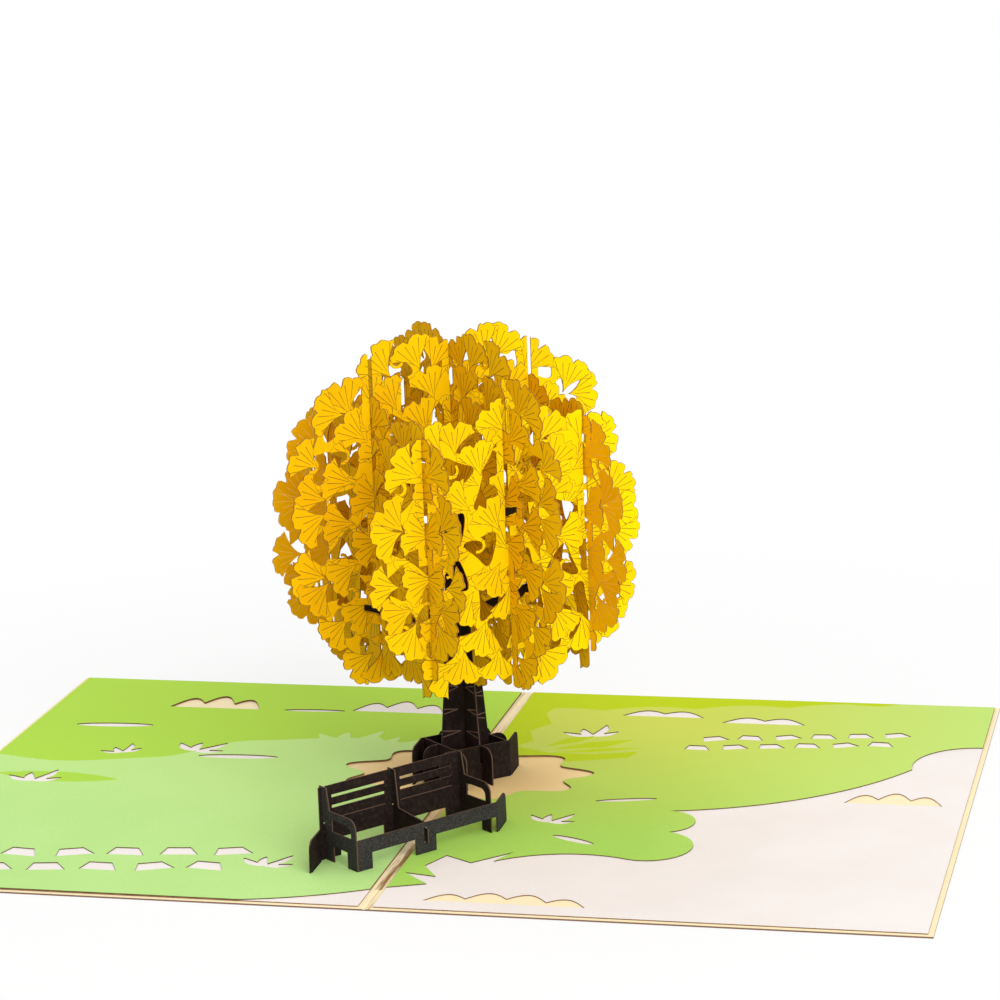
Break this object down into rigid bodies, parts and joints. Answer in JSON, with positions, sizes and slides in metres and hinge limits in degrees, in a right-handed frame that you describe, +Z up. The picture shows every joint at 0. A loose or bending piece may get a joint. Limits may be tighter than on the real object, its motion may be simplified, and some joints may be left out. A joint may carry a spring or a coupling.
{
  "type": "pop up card",
  "caption": "Open pop up greeting card: a slotted paper lattice tree of golden fan leaves and a small paper bench stand on two layered leaves joined at a fold.",
  "frame": {"origin": "middle of the open card on its underside, on the fold line", "axes": "+X across the leaves towards the right leaf, +Y along the fold away from the viewer, +Z up"},
  "size_m": [0.3, 0.2, 0.1346],
  "materials": {
    "cover": "matte cream card",
    "pale_paper": "matte off-white paper",
    "green_paper": "matte printed green paper",
    "leaf_card": "matte golden yellow card with printed veins",
    "bark_card": "matte brown-black card",
    "bench_card": "matte brown-black card"
  },
  "bodies": {
    "root": {"cover": "cover", "left_pale_panel": "pale_paper", "right_pale_panel": "pale_paper", "left_green_panel": "green_paper", "right_green_panel": "green_paper", "crown_slice_a_front": "leaf_card", "crown_slice_a_middle": "leaf_card", "crown_slice_a_back": "leaf_card", "crown_slice_b_left": "leaf_card", "crown_slice_b_middle": "leaf_card", "crown_slice_b_right": "leaf_card", "trunk_sheet_a": "bark_card", "trunk_sheet_b": "bark_card", "root_strip_front": "bark_card", "root_strip_back": "bark_card", "root_strip_left": "bark_card", "root_strip_right": "bark_card", "bench_rail": "bench_card", "bench_back": "bench_card", "bench_divider": "bench_card", "bench_right_end": "bench_card"}
  },
  "joints": []
}
